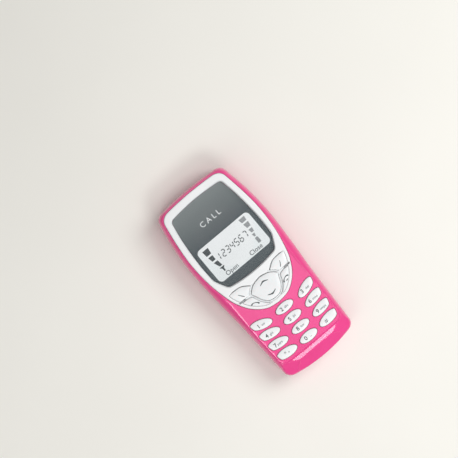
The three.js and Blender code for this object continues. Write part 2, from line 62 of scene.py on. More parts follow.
# ---- Sizes from the frame, in millimetres ----
cover_low, cover_high = box("front_cover")
plate_low, plate_high = box("faceplate")
lens_low, lens_high = box("screen_lens")
card_low, card_high = box("display_card")
mat_low, mat_high = box("keypad_mat")
door_low, door_high = box("battery_door")
nav_high = box("nav_key")[1]
W = cover_high.x
L = cover_high.y
front = cover_high.z
seam_top = cover_low.z
gap = 0.3
wall = 1.7
lip = (0.7, 1.2)
seam_bottom = seam_top - gap
roof = 1.6  # thickness of the wall under the face
ceiling = front - roof
recess_floor = plate_low.z - 0.1
panel_underside = recess_floor - roof
crown = 0.35  # how far the face falls away from its centre line to its sides


# ---- Outlines: lists of (x, y) points, clockwise from the top ----
def bend(start, control, end, count):
    """Points of a quadratic bend, without its last point."""
    points = []
    for i in range(count):
        t = i / count
        points.append(tuple(
            (1 - t) ** 2 * a + 2 * t * (1 - t) * b + t * t * c for a, b, c in zip(start, control, end)
        ))
    return points


def through(places, count):
    """Points of a smooth curve through the places, without its last point."""
    points = []
    spans = len(places) - 1
    for i in range(count):
        place = i / count * spans
        k = int(place)
        t = place - k
        p0, p1 = places[max(k - 1, 0)], places[k]
        p2, p3 = places[k + 1], places[min(k + 2, spans)]
        points.append(tuple(
            b + t * ((c - a) / 2 + t * (a - 2.5 * b + 2 * c - d / 2 + t * (1.5 * (b - c) + (d - a) / 2)))
            for a, b, c, d in zip(p0, p1, p2, p3)
        ))
    return points


def down(places, count):
    """Points at even heights down a smooth curve through the places, without its last point."""
    dense = through(places, 400) + [tuple(places[-1])]
    heights = np.linspace(places[0][1], places[-1][1], count, endpoint=False)
    ys = [-p[1] for p in dense]
    return [(float(np.interp(-y, ys, [p[0] for p in dense])), float(y)) for y in heights]


def mirrored(half):
    """A closed outline from its right half, which runs down from the top centre to the bottom centre."""
    return half + [(-x, y) for x, y in reversed(half) if x > 1e-6]


def flipped(outline):
    return [(-x, y) for x, y in reversed(outline)]


def moved(outline, x, y):
    return [(px + x, py + y) for px, py in outline]


def clockwise(outline):
    p = np.array(outline)
    q = np.roll(p, -1, axis=0)
    area = float((p[:, 0] * q[:, 1] - q[:, 0] * p[:, 1]).sum())
    return list(outline) if area < 0 else list(reversed(outline))


def oval(centre, half_length, half_height, tilt=0.0, outermost=1e6, lean=0.0, count=64):
    """A clockwise oval turned by tilt. Its ends are cut at the outermost x, on a line that leans out."""
    points = []
    for i in range(count):
        angle = -2 * math.pi * i / count
        along, across = half_length * math.cos(angle), half_height * math.sin(angle)
        x = centre[0] + along * math.cos(tilt) - across * math.sin(tilt)
        y = centre[1] + along * math.sin(tilt) + across * math.cos(tilt)
        furthest = outermost + lean * (y - centre[1])
        points.append((math.copysign(min(abs(x), furthest), x), y))
    return points


def round_box(low, high, radius, count=6):
    """A clockwise rectangle with round corners."""
    points = []
    corners = ((high[0], high[1], 90), (high[0], low[1], 0), (low[0], low[1], -90), (low[0], high[1], -180))
    for x, y, start in corners:
        cx = x - math.copysign(radius, x - (low[0] + high[0]) / 2)
        cy = y - math.copysign(radius, y - (low[1] + high[1]) / 2)
        for i in range(count + 1):
            angle = math.radians(start - 90 * i / count)
            points.append((cx + radius * math.cos(angle), cy + radius * math.sin(angle)))
    return points


def grown(outline, distance):
    """A clockwise outline moved outwards by a distance, or inwards where it is negative."""
    p = np.array(outline)
    edge = np.roll(p, -1, axis=0) - p
    edge /= np.maximum(np.linalg.norm(edge, axis=1, keepdims=True), 1e-9)
    normal = np.stack([-edge[:, 1], edge[:, 0]], axis=1)
    both = normal + np.roll(normal, 1, axis=0)
    both /= np.maximum(np.linalg.norm(both, axis=1, keepdims=True), 1e-9)
    reach = distance / np.maximum((both * normal).sum(axis=1, keepdims=True), 0.6)
    return [tuple(q) for q in p + both * reach]


def evened(outline, spacing):
    """The same closed outline with points at an even spacing."""
    p = np.array(list(outline) + [outline[0]])
    lengths = np.concatenate([[0], np.cumsum(np.linalg.norm(np.diff(p, axis=0), axis=1))])
    count = max(12, round(lengths[-1] / spacing))
    at = np.linspace(0, lengths[-1], count, endpoint=False)
    return list(zip(np.interp(at, lengths, p[:, 0]), np.interp(at, lengths, p[:, 1])))


def softened(outline, passes):
    """The same outline with rounder corners: each pass moves a point halfway to its neighbours' middle."""
    p = np.array(outline)
    for _ in range(passes):
        p = p / 2 + (np.roll(p, 1, axis=0) + np.roll(p, -1, axis=0)) / 4
    return [tuple(q) for q in p]


def triangles(loops, extra=()):
    """Points and triangles that fill some clockwise outlines, and which outlines each triangle is in."""
    points = [Vector(p) for loop in loops for p in loop] + list(extra)
    starts = np.cumsum([0] + [len(loop) for loop in loops])
    rings = [list(range(starts[i + 1] - 1, starts[i] - 1, -1)) for i in range(len(loops))]
    verts, _, faces, _, _, origins = delaunay_2d_cdt(points, [], rings, 0, 1e-5, True)
    return verts, faces, origins


def region(loops, wanted):
    """The outline of the largest area whose triangles lie in the outlines that wanted says."""
    verts, faces, origins = triangles(loops)
    edges = set()
    for face, origin in zip(faces, origins):
        if wanted(set(origin)):
            edges.update(zip(face, face[1:] + face[:1]))
    border = {a: b for a, b in edges if (b, a) not in edges}
    best = []
    while border:
        start, after = border.popitem()
        loop = [start]
        while after != start and after in border:
            loop.append(after)
            after = border.pop(after)
        best = max(best, loop, key=len)
    return [tuple(verts[i]) for i in reversed(best)]


def common(keep, drop=()):
    """The outline of what lies inside all the outlines to keep and outside all those to drop."""
    wanted = set(range(len(keep)))
    return region([*keep, *drop], lambda origin: origin == wanted)


def united(parts):
    """The outer outline round several overlapping outlines."""
    return region([clockwise(part) for part in parts], lambda origin: bool(origin))


def disc(place, radius, count=32):
    return oval(place, radius, radius, count=count)


def stroke(places, widths):
    """The outline of a pen stroke through the places, as wide at each as widths says, with round ends."""
    count = 24
    path = np.array(through([(*place, width / 2) for place, width in zip(places, widths)], count)
                    + [(*places[-1], widths[-1] / 2)])
    along = np.gradient(path[:, :2], axis=0)
    along /= np.linalg.norm(along, axis=1, keepdims=True)
    across = np.stack([-along[:, 1], along[:, 0]], axis=1) * path[:, 2:]
    ribbon = [tuple(q) for q in path[:, :2] + across] + [tuple(q) for q in (path[:, :2] - across)[::-1]]
    ends = [disc(path[i, :2], path[i, 2], 12) for i in (0, -1)]
    return united([ribbon, *ends])


def at_shares(*places):
    """Places given as shares of the phone's half width and half length."""
    return [(x * W, y * L) for x, y in places]


def symmetric(start, *spans):
    """An outline from the curves of its right half, which run down from start in shares of W and L."""
    half = []
    for curve, count, *places in spans:
        route = at_shares(start, *places)
        half += bend(*route, count) if curve is bend else curve(route, count)
        start = places[-1]
    return mirrored(half + at_shares(start))


body = symmetric(
    (0, 1),
    (bend, 8, (0.4, 1), (0.69, 0.983)),
    (bend, 12, (0.845, 0.975), (0.87, 0.905)),
    (down, 56, (0.96, 0.65), (1, 0.355), (0.964, -0.01), (0.917, -0.305), (0.874, -0.73), (0.858, -0.887)),
    (bend, 18, (0.85, -0.957), (0.66, -0.972)),
    (bend, 24, (0.35, -1), (0, -1)),
)

# The raised face: it frames the faceplate above, and carries the number keys between two creases below.
plateau = symmetric(
    (0, 0.974),
    (bend, 8, (0.4, 0.971), (0.6, 0.961)),
    (bend, 12, (0.785, 0.946), (0.803, 0.872)),
    (down, 56, (0.873, 0.66), (0.912, 0.44), (0.885, 0.2), (0.829, 0.04), (0.814, -0.06),
     (0.811, -0.25), (0.808, -0.41), (0.8, -0.53), (0.79, -0.65), (0.776, -0.775)),
    (bend, 18, (0.768, -0.838), (0.62, -0.843)),
    (bend, 24, (0.3, -0.848), (0, -0.848)),
)

faceplate_edge = symmetric(
    (0, 0.963),
    (bend, 8, (0.4, 0.96), (0.6, 0.95)),
    (bend, 12, (0.76, 0.935), (0.785, 0.87)),
    (through, 72, (0.855, 0.66), (0.893, 0.44), (0.865, 0.2), (0.775, -0.011), (0.69, -0.122),
     (0.53, -0.236), (0.28, -0.322), (0, -0.346)),
)

window_edge = symmetric(
    (0, 0.894),
    (bend, 8, (0.35, 0.89), (0.56, 0.877)),
    (bend, 10, (0.655, 0.872), (0.67, 0.835)),
    (through, 32, (0.735, 0.65), (0.775, 0.4), (0.77, 0.22)),
    (bend, 6, (0.765, 0.185), (0.733, 0.157)),
    (bend, 4, (0.69, 0.115), (0.64, 0.074)),
    (bend, 6, (0.605, 0.045), (0.53, 0.041)),
    (bend, 8, (0.28, 0.02), (0, 0.02)),
)

nav_edge = softened(evened(symmetric(
    (0, -0.057),
    (through, 16, (0.2, -0.077), (0.348, -0.13)),
    (through, 24, (0.3, -0.172), (0.245, -0.229), (0.14, -0.28), (0, -0.293)),
), 0.25), 4)

soft_area = [
    *at_shares((0.21, -0.075)),
    *through(at_shares((0.28, -0.056), (0.36, -0.031), (0.455, -0.011), (0.66, -0.007)), 16),
    *at_shares((0.66, -0.007), (1, -0.01), (1, -0.118), (0.5, -0.121), (0.21, -0.14)),
]
call_area = at_shares((0.12, -0.172), (0.5, -0.142), (1, -0.137), (1, -0.4), (0.12, -0.4))
cluster_rim = 1.6
web = 0.6
held = grown(faceplate_edge, -cluster_rim)
around_nav = grown(nav_edge, web + 2 * gap)
soft_edge = softened(evened(common([held, soft_area], [around_nav]), 0.25), 5)
call_edge = softened(evened(common([held, call_area], [around_nav]), 0.25), 5)

cluster_edges = {
    "nav_key": nav_edge,
    "soft_key_right": soft_edge,
    "soft_key_left": flipped(soft_edge),
    "end_key": call_edge,
    "call_key": flipped(call_edge),
}

key_rows = [
    (("1", "2", "3"), (-0.417, -0.402), 0.587, 19, 0.766),
    (("4", "5", "6"), (-0.534, -0.519), 0.581, 12, 0.76),
    (("7", "8", "9"), (-0.65, -0.637), 0.572, 9, 0.748),
    (("star", "0", "hash"), (-0.767, -0.755), 0.547, 6, 0.735),
]
end_lean = 0.25
number_edges = {}
number_centres = {}
key_ends = []  # how far out each row of keys reaches: (x, y) of its right end's middle
for row_names, (middle_y, side_y), side_x, tilt, outermost in key_rows:
    for column, key_name in enumerate(row_names):
        side = column - 1
        name = "key_" + key_name
        number_centres[name] = (side * side_x * W, (side_y if side else middle_y) * L)
        if side:
            tilted = side * math.radians(tilt)
            edge = oval(number_centres[name], 0.247 * W, 2.45, tilted, outermost * W, end_lean, 96)
        else:
            edge = oval(number_centres[name], 0.215 * W, 2.4)
        number_edges[name] = softened(evened(edge, 0.25), 10)
    reach = (outermost - side_x) * W
    key_ends.append((outermost * W, side_y * L + reach * math.tan(math.radians(tilt))))


# ---- Surfaces ----
def smooth_step(t):
    t = min(max(t, 0), 1)
    return t * t * (3 - 2 * t)


def crowned(x, z):
    """The height of a point once the face is crowned across its width. It fades out down the sides."""
    return z - crown * (x / W) ** 2 * smooth_step((z - 12) / 4)


def distance_inside(x, y, outline):
    """How far a point is from an outline."""
    p = np.array(outline)
    edge = np.roll(p, -1, axis=0) - p
    rel = np.array((x, y)) - p
    t = np.clip((rel * edge).sum(1) / np.maximum((edge * edge).sum(1), 1e-12), 0, 1)
    return float(np.linalg.norm(rel - edge * t[:, None], axis=1).min())


def new_object(name, data):
    obj = bpy.data.objects.new(name, data)
    bpy.context.scene.collection.objects.link(obj)
    return obj


class Skin:
    """A closed surface put together from walls between rings and from faces with holes."""

    def __init__(self):
        self.points = []
        self.faces = []

    def ring(self, outline, z):
        start = len(self.points)
        self.points += [(x, y, z(x, y) if callable(z) else z) for x, y in outline]
        return list(range(start, len(self.points)))

    def walls(self, *levels):
        """Joins rings of one length, each an (outline, height). A height can be a function of x and y."""
        rings = [self.ring(*level) for level in levels]
        for low, high in zip(rings, rings[1:]):
            for i in range(len(low)):
                j = (i + 1) % len(low)
                self.faces.append((low[i], low[j], high[j], high[i]))

    def face(self, outline, z, holes=(), spacing=0.0):
        """A face with holes. Its height can be a function of x and y. A spacing gives it inner points."""
        extra = self.inner_points(outline, spacing) if spacing else ()
        verts, faces, origins = triangles([outline, *holes], extra)
        start = len(self.points)
        self.points += [(v.x, v.y, z(v.x, v.y) if callable(z) else z) for v in verts]
        for face, origin in zip(faces, origins):
            if origin == [0]:
                self.faces.append(tuple(start + i for i in face))

    @staticmethod
    def inner_points(outline, spacing):
        p = np.array(outline)
        low, high = p.min(0), p.max(0)
        found = []
        for row, y in enumerate(np.arange(low[1] + spacing / 2, high[1], spacing * 0.87)):
            for x in np.arange(low[0] + spacing / 2 * (row % 2), high[0], spacing):
                found.append(Vector((x, y)))
        return found

    def build(self, name, crowned_face=True, sharp=35):
        mesh = bpy.data.meshes.new(name)
        points = [(x * mm, y * mm, (crowned(x, z) if crowned_face else z) * mm) for x, y, z in self.points]
        mesh.from_pydata(points, [], self.faces)
        work = bmesh.new()
        work.from_mesh(mesh)
        bmesh.ops.remove_doubles(work, verts=work.verts, dist=0.002 * mm)
        loose = [v for v in work.verts if not v.link_faces]
        bmesh.ops.delete(work, geom=loose, context="VERTS")
        bmesh.ops.recalc_face_normals(work, faces=work.faces)
        work.to_mesh(mesh)
        work.free()
        mesh.shade_smooth()
        mesh.set_sharp_from_angle(angle=math.radians(sharp))
        obj = new_object(name, mesh)
        even = obj.modifiers.new("even_normals", "WEIGHTED_NORMAL")
        even.keep_sharp = True
        return obj


def outer_fillet(outline, top, radius, steps=4):
    """Rings that round an outer upper edge, from the upright wall to the face."""
    turns = [math.pi / 2 * i / steps for i in range(steps + 1)]
    return [(grown(outline, -radius * (1 - math.cos(a))), top - radius + radius * math.sin(a)) for a in turns]


def hole_fillet(outline, top, radius, steps=3):
    """Rings that round the upper edge of a hole, from the face down to the upright wall."""
    rings = []
    for i in range(steps + 1):
        turn = math.pi / 2 * i / steps
        drop = radius * (1 - math.cos(turn))
        height = (lambda x, y, drop=drop: top(x, y) - drop) if callable(top) else top - drop
        rings.append((grown(outline, radius * (1 - math.sin(turn))), height))
    return rings


# ---- Materials ----
def material(name):
    made = bpy.data.materials.new(name)
    made.use_nodes = True
    tree = made.node_tree
    shader = tree.nodes["Principled BSDF"]
    return made, tree, shader


def node(tree, kind, **settings):
    made = tree.nodes.new(kind)
    for key, value in settings.items():
        if key in made.inputs:
            made.inputs[key].default_value = value
        else:
            setattr(made, key, value)
    return made


def object_noise(tree, scale, detail=3.0):
    """Noise fixed to the object's own coordinates, in cycles a metre."""
    place = node(tree, "ShaderNodeTexCoord")
    noise = node(tree, "ShaderNodeTexNoise", Scale=scale, Detail=detail)
    tree.links.new(place.outputs["Object"], noise.inputs["Vector"])
    return noise.outputs["Fac"]


def spread(tree, value, low, high):
    """The value, mapped from the noise's usual middle range to low..high."""
    ends = {"From Min": 0.3, "From Max": 0.7, "To Min": low, "To Max": high}
    mapped = node(tree, "ShaderNodeMapRange", **ends)
    tree.links.new(value, mapped.inputs["Value"])
    return mapped.outputs["Result"]


def two_tones(tree, value, dark, light):
    mix = node(tree, "ShaderNodeMix", data_type="RGBA")
    mix.inputs[6].default_value = (*dark, 1)
    mix.inputs[7].default_value = (*light, 1)
    tree.links.new(value, mix.inputs["Factor"])
    return mix.outputs[2]


def bumped(tree, shader, value, strength, depth):
    bump = node(tree, "ShaderNodeBump", Strength=strength, Distance=depth)
    tree.links.new(value, bump.inputs["Height"])
    tree.links.new(bump.outputs["Normal"], shader.inputs["Normal"])


def moulded(name, dark, light, roughness, peel=0.1, coat=0.0, subsurface=0.0):
    """Moulded plastic: a slow drift of tone, handling marks in the gloss, and a faint orange peel."""
    made, tree, shader = material(name)
    drift = spread(tree, object_noise(tree, 60), 0, 1)
    tree.links.new(two_tones(tree, drift, dark, light), shader.inputs["Base Color"])
    handling = spread(tree, object_noise(tree, 220, 1), roughness * 0.8, roughness * 1.25)
    tree.links.new(handling, shader.inputs["Roughness"])
    bumped(tree, shader, object_noise(tree, 1400, 2), peel, 0.03 * mm)
    shader.inputs["Specular IOR Level"].default_value = 0.3 if coat else 0.5
    shader.inputs["Coat Weight"].default_value = coat
    shader.inputs["Coat Roughness"].default_value = 0.13
    if subsurface:
        shader.inputs["Subsurface Weight"].default_value = subsurface
        shader.inputs["Subsurface Radius"].default_value = (1.0, 0.6, 0.6)
        shader.inputs["Subsurface Scale"].default_value = 0.8 * mm
    return made


def brushed(name, tone, roughness):
    """Plated steel with fine marks across it."""
    made, tree, shader = material(name)
    marks = spread(tree, object_noise(tree, 2500, 4), 0, 1)
    dark = tuple(c * 0.8 for c in tone)
    tree.links.new(two_tones(tree, marks, dark, tone), shader.inputs["Base Color"])
    shader.inputs["Metallic"].default_value = 1
    wear = spread(tree, object_noise(tree, 900), roughness * 0.7, roughness * 1.4)
    tree.links.new(wear, shader.inputs["Roughness"])
    bumped(tree, shader, object_noise(tree, 3000), 0.15, 0.02 * mm)
    return made


def clear_plastic(name):
    """A clear window: its outside mirrors more at grazing angles, and the rest goes straight through."""
    made, tree, shader = material(name)
    output = tree.nodes["Material Output"]
    tree.nodes.remove(shader)
    see_through = node(tree, "ShaderNodeBsdfTransparent", Color=(0.99, 1, 1, 1))
    gloss = node(tree, "ShaderNodeBsdfGlossy")
    tree.links.new(spread(tree, object_noise(tree, 500, 2), 0.1, 0.15), gloss.inputs["Roughness"])
    bumped(tree, gloss, object_noise(tree, 90, 2), 0.03, 0.02 * mm)
    fresnel = node(tree, "ShaderNodeFresnel", IOR=1.42)
    outside = node(tree, "ShaderNodeMath", operation="SUBTRACT")
    outside.inputs[0].default_value = 1
    tree.links.new(node(tree, "ShaderNodeNewGeometry").outputs["Backfacing"], outside.inputs[1])
    share = node(tree, "ShaderNodeMath", operation="MULTIPLY")
    tree.links.new(fresnel.outputs["Fac"], share.inputs[0])
    tree.links.new(outside.outputs["Value"], share.inputs[1])
    mix = node(tree, "ShaderNodeMixShader")
    tree.links.new(share.outputs["Value"], mix.inputs["Fac"])
    tree.links.new(see_through.outputs["BSDF"], mix.inputs[1])
    tree.links.new(gloss.outputs["BSDF"], mix.inputs[2])
    tree.links.new(mix.outputs["Shader"], output.inputs["Surface"])
    return made


def printed_card(name):
    """Slate-grey print with the grain of the card in it, painted lighter towards the phone's top as a painted
    reflection.
    """
    made, tree, shader = material(name)
    place = node(tree, "ShaderNodeTexCoord")
    split = node(tree, "ShaderNodeSeparateXYZ")
    tree.links.new(place.outputs["Object"], split.inputs["Vector"])
    # painted reflection: the print lightens towards the phone's top
    painted_reflection_fade = node(tree, "ShaderNodeMapRange", **{"From Min": 0.5 * L * mm, "From Max": 0.9 * L * mm})
    tree.links.new(split.outputs["Y"], painted_reflection_fade.inputs["Value"])
    base = two_tones(tree, painted_reflection_fade.outputs["Result"], (0.045, 0.06, 0.069), (0.18, 0.197, 0.198))
    grain = node(tree, "ShaderNodeMix", data_type="RGBA", blend_type="MULTIPLY")
    grain.inputs["Factor"].default_value = 1
    tree.links.new(base, grain.inputs[6])
    speck = spread(tree, object_noise(tree, 2600, 2), 0.97, 1.03)
    tree.links.new(speck, grain.inputs[7])
    tree.links.new(grain.outputs[2], shader.inputs["Base Color"])
    shader.inputs["Roughness"].default_value = 0.55
    bumped(tree, shader, object_noise(tree, 3000), 0.1, 0.01 * mm)
    return made


pink = moulded("pink_plastic", (0.8, 0.046, 0.245), (0.86, 0.056, 0.28), 0.35, peel=0.03, coat=1.0)
silver = moulded("silver_white_plastic", (0.82, 0.83, 0.835), (0.86, 0.87, 0.875), 0.36)
# painted shade: a greyer white for the sunk key tray, standing in for the shade in its groove
painted_groove_shade = moulded("painted_groove_shade_grey", (0.76, 0.78, 0.79), (0.81, 0.83, 0.84), 0.5)
# painted shade: a dark grey for the wedge pockets, standing in for the dark inside seen through a gap
painted_pocket_shade = moulded("painted_pocket_shade_dark", (0.3, 0.31, 0.32), (0.36, 0.37, 0.38), 0.6)
key_white = moulded("key_white_plastic", (0.8, 0.81, 0.82), (0.86, 0.87, 0.875), 0.36, subsurface=0.1)
legend_grey = moulded("legend_print", (0.07, 0.085, 0.09), (0.1, 0.115, 0.12), 0.6)
small_legend_grey = moulded("small_legend_print", (0.2, 0.22, 0.23), (0.27, 0.29, 0.3), 0.6)
panel_white = moulded("screen_panel_print", (0.74, 0.75, 0.76), (0.79, 0.8, 0.81), 0.5)
panel_dark = moulded("screen_segment_print", (0.025, 0.035, 0.04), (0.04, 0.05, 0.055), 0.5)
panel_grey = moulded("screen_grey_print", (0.22, 0.23, 0.24), (0.27, 0.28, 0.29), 0.5)
card_print_and_painted_reflection = printed_card("window_print_and_painted_reflection")
clear = clear_plastic("clear_window_plastic")
silicone = moulded("silicone", (0.6, 0.62, 0.63), (0.68, 0.7, 0.71), 0.6, subsurface=0.3)
board_green = moulded("circuit_board_mask", (0.02, 0.12, 0.045), (0.04, 0.2, 0.08), 0.35, peel=0.4)
black_resin = moulded("black_resin", (0.008, 0.008, 0.009), (0.015, 0.015, 0.016), 0.2)
tan_resin = moulded("tan_resin", (0.45, 0.34, 0.2), (0.55, 0.44, 0.28), 0.5)
speaker_paper = moulded("speaker_paper", (0.012, 0.012, 0.013), (0.03, 0.03, 0.032), 0.8, peel=0.6)
red_lead = moulded("red_insulation", (0.5, 0.01, 0.01), (0.6, 0.02, 0.02), 0.4)
black_lead = moulded("black_insulation", (0.01, 0.01, 0.011), (0.02, 0.02, 0.021), 0.4)
steel = brushed("plated_steel", (0.62, 0.63, 0.65), 0.3)


def finish_piece(obj, look, body_name, slot_name, *replaced):
    if look:
        obj.data.materials.append(look)
    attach(obj, body_name)
    if replaced:
        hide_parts(*replaced)
    return obj


# ---- Front cover ----
shading_band = 0.12  # a flat strip beside each rounded edge keeps the edge's shading off the face
rib_width = 0.8
rib_rise = 0.25
rib_fade = 4  # how far below the middle the rib reaches its full height
rib_loss = 0.7  # the share of it that is lost beside a key
key_end_reach = 2.2
chin_top = -0.846 * L
brow_foot = chin_top - 2.3
brow_slope = 0.25
chin_slope = 0.68
cheek_start = (0.43 * W, brow_foot)
cheek_slope = (0.15, 0.5)  # along x and along y


def near_key_end(y):
    """1 beside the outer ends of the number keys, falling to 0 between the rows."""
    return max(math.exp(-((y - end_y) / key_end_reach) ** 4) for _, end_y in key_ends)


def rib_share(y):
    """How much of the rib there is along the face's edge: none beside the faceplate, less beside a key."""
    return smooth_step(-y / rib_fade) * (1 - rib_loss * near_key_end(y))


def face_height(x, y):
    """The raised face lies a little lower than the rib that runs along its edge."""
    return front - rib_rise * smooth_step(-y / rib_fade)


def chin_height(x, y):
    """The chin has a narrow brow below the raised face, then a steeper middle with a cheek on each side."""
    face = front - rib_rise
    brow = face - brow_slope * (chin_top - y)
    foot = face - brow_slope * (chin_top - brow_foot)
    middle = foot - chin_slope * (brow_foot - y)
    cheek = foot - cheek_slope[0] * (abs(x) - cheek_start[0]) - cheek_slope[1] * (cheek_start[1] - y)
    return min(brow, middle, cheek)


def shoulder_height(share, x, y):
    """The height of the shoulder, which the slope of the chin cuts off."""
    foot = seam_top + 3.4
    height = foot + (face_height(x, y) - foot) * share
    softness = 0.06
    lower, upper = sorted((height, chin_height(x, y)))
    rounding = softness * math.log1p(math.exp(-(upper - lower) / softness))
    return lower - rounding * smooth_step((chin_top + 1 - y) / 2)


def blend(outline, other, share):
    """Each point of an outline moved by a share of the way to its partner in the other."""
    result = []
    for (x, y), (to_x, to_y) in zip(outline, other):
        part = share(y) if callable(share) else share
        result.append((x + (to_x - x) * part, y + (to_y - y) * part))
    return result


def front_cover():
    skin = Skin()
    sweep = math.radians(66)
    steps = 22
    edge = 0.25
    levels = [
        (grown(body, -wall + lip[0] + gap), seam_top),
        (grown(body, -edge), seam_top),
        (grown(body, -edge * 0.3), seam_top + edge * 0.3),
        (body, seam_top + edge),
    ]
    for i in range(steps + 1):
        turn = sweep * i / steps
        across = (1 - math.cos(turn)) / (1 - math.cos(sweep))
        up = math.sin(turn) / math.sin(sweep)
        levels.append((blend(body, plateau, across), lambda x, y, up=up: shoulder_height(up, x, y)))
    crest_height = levels[-1][1]
    inner = grown(plateau, -rib_width)
    for across, up in ((0.08, 0.7), (0.18, 1), (0.26, 0.97), (0.9, 0.12)):
        ring = blend(plateau, inner, lambda y, across=across: across * max(rib_share(y), 0.1))
        levels.append((ring, lambda x, y, up=up: crest_height(x, y) + rib_rise * up * rib_share(y)))
    levels.append((blend(plateau, inner, lambda y: max(rib_share(y), 0.1)), face_height))
    flat = blend(plateau, grown(inner, -shading_band), lambda y: max(rib_share(y), 0.1))
    levels.append((flat, face_height))
    skin.walls(*levels)

    rim = 0.12
    recess = grown(faceplate_edge, 0.2)
    key_holes = [grown(edge_line, 0.22) for edge_line in number_edges.values()]
    banded_holes = [grown(hole, rim + shading_band) for hole in key_holes]
    skin.face(flat, face_height, [grown(recess, rim), *banded_holes], spacing=1.5)
    for hole, banded in zip(key_holes, banded_holes):
        skin.walls((banded, face_height), *hole_fillet(hole, face_height, rim), (hole, ceiling))
    skin.walls(*hole_fillet(recess, face_height, rim), (recess, recess_floor))
    lower_half = [(-W, 0.0), (W, 0.0), (W, -L), (-W, -L)]
    opening = common([grown(faceplate_edge, -0.8), lower_half])
    skin.face(recess, recess_floor, [opening])
    skin.walls((opening, recess_floor), (opening, panel_underside))
    panel = grown(faceplate_edge, 0.9)
    skin.face(panel, panel_underside, [opening])
    skin.walls((panel, panel_underside), (panel, ceiling))
    shoulder_wall = 2.75
    inner_edge = grown(body, -shoulder_wall)

    def below_chin(height):
        return lambda x, y: min(height, chin_height(x, y) - roof)

    skin.face(inner_edge, below_chin(ceiling), [panel, *key_holes], spacing=3)
    skin.walls(
        (inner_edge, below_chin(ceiling)),
        (grown(body, -wall), below_chin(ceiling - 2.6)),
        (grown(body, -wall), seam_top + gap + lip[1]),
        (grown(body, -wall + lip[0] + gap), seam_top + lip[1]),
        (grown(body, -wall + lip[0] + gap), seam_top),
    )
    return skin.build("front_shell")


def cheek_beads():
    """A fine raised line on each side of the chin, along the edge between its middle and its cheek."""
    outwards = (chin_slope - cheek_slope[1]) / cheek_slope[0]
    drops = (0, 1.3, 2.6, 3.8)
    skin = Skin()
    for side in (-1, 1):
        places = [(side * (cheek_start[0] + outwards * drop), brow_foot - drop) for drop in drops]
        edge = clockwise(stroke(places, [0.6, 0.6, 0.6, 0.45]))
        rings = [
            (grown(edge, -inset), lambda x, y, rise=rise: chin_height(x, y) + rise)
            for inset, rise in ((0, -0.2), (0, 0.04), (0.06, 0.1), (0.14, 0.14), (0.2, 0.15))
        ]
        skin.face(*rings[0])
        skin.walls(*rings)
        skin.face(*rings[-1])
    return skin.build("cheek_beads")


finish_piece(front_cover(), pink, "case", "pink_shell", "front_cover")
finish_piece(cheek_beads(), pink, "case", "pink_shell")


# ---- Faceplate ----
nav_gap = 0.15  # the navigation key also needs room to rock, along the phone
key_gap = 0.12
tray_depth = 0.65


def cluster_holes():
    """The five upper keys' holes. A wider slot along the top edges of three of them reads as a dark line."""
    nav_hole = united([moved(grown(nav_edge, key_gap), 0, shift) for shift in (nav_gap, -nav_gap)])
    arch = stroke(at_shares((-0.2, -0.074), (0, -0.054), (0.2, -0.074)), [0.5, 0.5, 0.5])
    brow_places = at_shares((0.245, -0.065), (0.29, -0.05), (0.36, -0.027), (0.455, -0.008), (0.63, -0.004))
    brow = stroke(brow_places, [0.35, 0.5, 0.5, 0.4, 0.5])
    soft_hole = softened(evened(united([grown(soft_edge, key_gap), brow]), 0.25), 2)
    call_hole = grown(call_edge, key_gap)
    return {
        "nav_key": softened(evened(united([nav_hole, arch]), 0.25), 2),
        "soft_key_right": soft_hole,
        "soft_key_left": flipped(soft_hole),
        "end_key": call_hole,
        "call_key": flipped(call_hole),
    }


def faceplate():
    skin = Skin()
    top, bottom = plate_high.z, plate_low.z
    round_edge = 0.55
    skin.walls((faceplate_edge, bottom), *outer_fillet(faceplate_edge, top, round_edge))
    window = grown(window_edge, 0.08)
    ledge = grown(window_edge, -0.22)
    ledge_top = lens_low.z - 0.02
    rim = 0.3
    holes = cluster_holes()
    tray = cluster_tray(holes)
    tray_floor = top - tray_depth
    skin.face(grown(faceplate_edge, -round_edge), top, [grown(window, rim), grown(tray, 0.1)], spacing=1.5)
    skin.walls(*hole_fillet(window, top, rim), (window, ledge_top), (ledge, ledge_top), (ledge, bottom))
    skin.walls(*hole_fillet(tray, top, 0.1, 2), (tray, tray_floor))
    pockets = [wedge_pocket(), flipped(wedge_pocket())]
    pocket_floor = bottom + 0.15
    skin.face(tray, tray_floor, [*holes.values(), *pockets])
    for pocket in pockets:
        skin.walls((pocket, tray_floor), (pocket, pocket_floor))
        skin.face(pocket, pocket_floor)
    for hole in holes.values():
        skin.walls((hole, tray_floor), (hole, bottom))
    skin.face(faceplate_edge, bottom, [ledge, *holes.values()])
    obj = skin.build("face_panel")
    # Faces at or below the sunk tray's floor get the greyer white as painted shade.
    for look in (silver, painted_groove_shade, painted_pocket_shade):
        obj.data.materials.append(look)
    for polygon in obj.data.polygons:
        middle = polygon.center / mm
        if middle.z < tray_floor + 0.05 and abs(middle.x) < 0.72 * W and middle.y < -0.02 * L:
            # the wedge pocket's inside gets the dark grey as painted shade
            in_pocket = bottom + 0.1 < middle.z < tray_floor - 0.1 and abs(middle.x) > 0.47 * W
            polygon.material_index = 2 if in_pocket and -0.14 * L < middle.y < -0.12 * L else 1
    return obj


def wedge_pocket():
    """The gap that opens between a soft key and the key under it, next to the faceplate's edge: a pocket
    painted dark grey inside as painted shade.
    """
    corners = at_shares((0.51, -0.1245), (0.66, -0.1235), (0.65, -0.132), (0.56, -0.136), (0.48, -0.138))
    return clockwise(corners)


